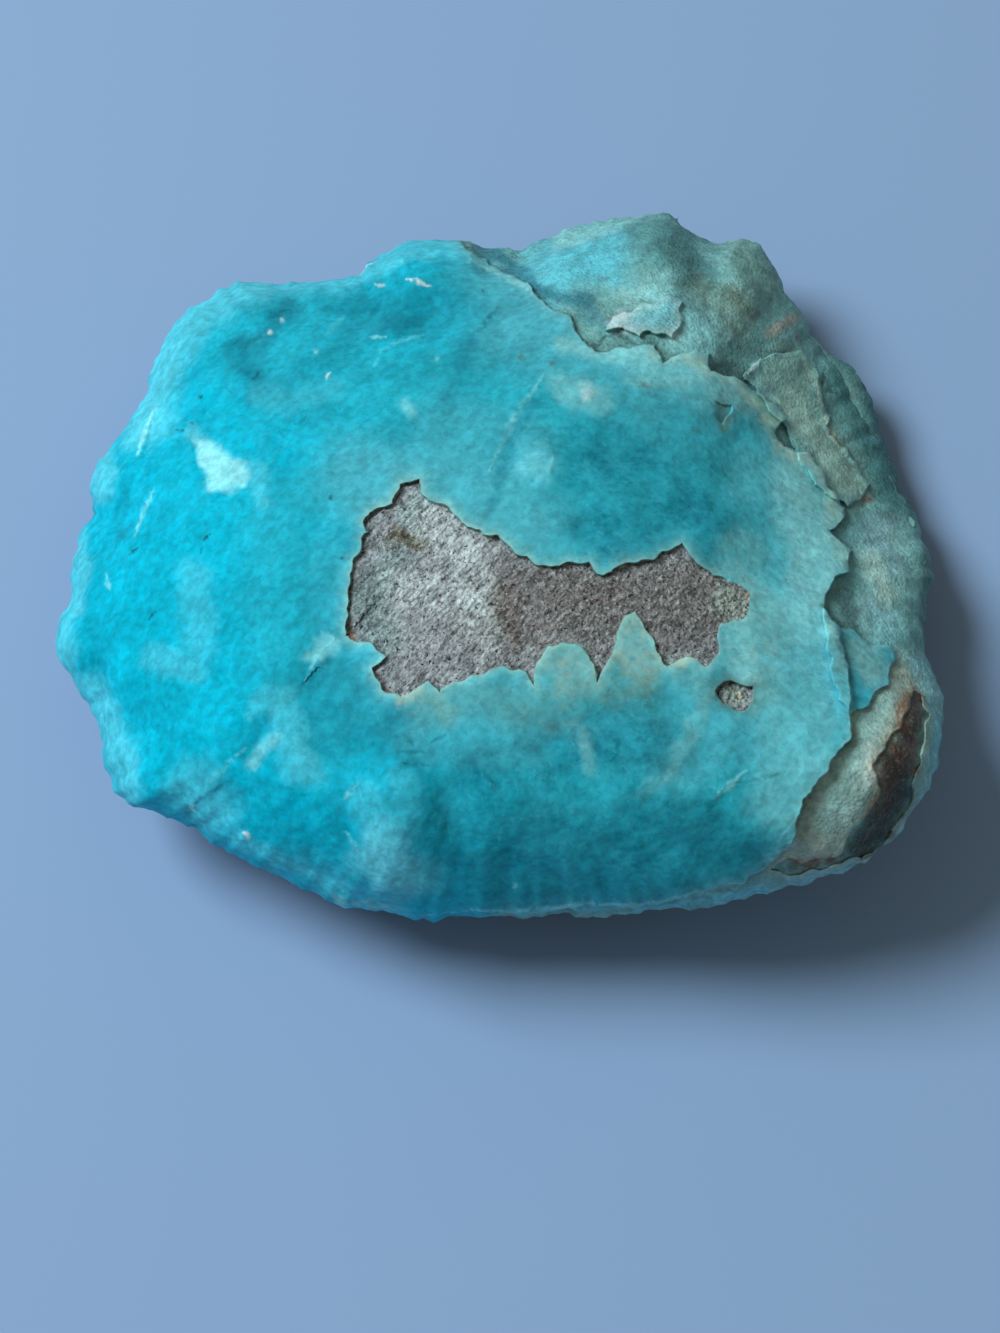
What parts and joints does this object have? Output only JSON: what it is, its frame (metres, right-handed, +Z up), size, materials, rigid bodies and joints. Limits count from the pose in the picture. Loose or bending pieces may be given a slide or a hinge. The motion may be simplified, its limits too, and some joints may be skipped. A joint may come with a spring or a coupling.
{
  "type": "raw hemimorphite stone",
  "caption": "Loose raw mineral stone with a blue crust, a window of pale matrix and broken green edges, which rests on its flat underside.",
  "frame": {"origin": "centre of the stone's box, on the surface that it rests on", "axes": "+X along the stone's length, +Y from its steep front to its thin back, +Z up"},
  "size_m": [0.0686, 0.0647, 0.0232],
  "materials": {
    "stone": "waxy blue crust, granular grey matrix in the broken window, dark green and brown where the crust ends"
  },
  "bodies": {
    "root": {"hemimorphite_stone": "stone"}
  },
  "joints": []
}
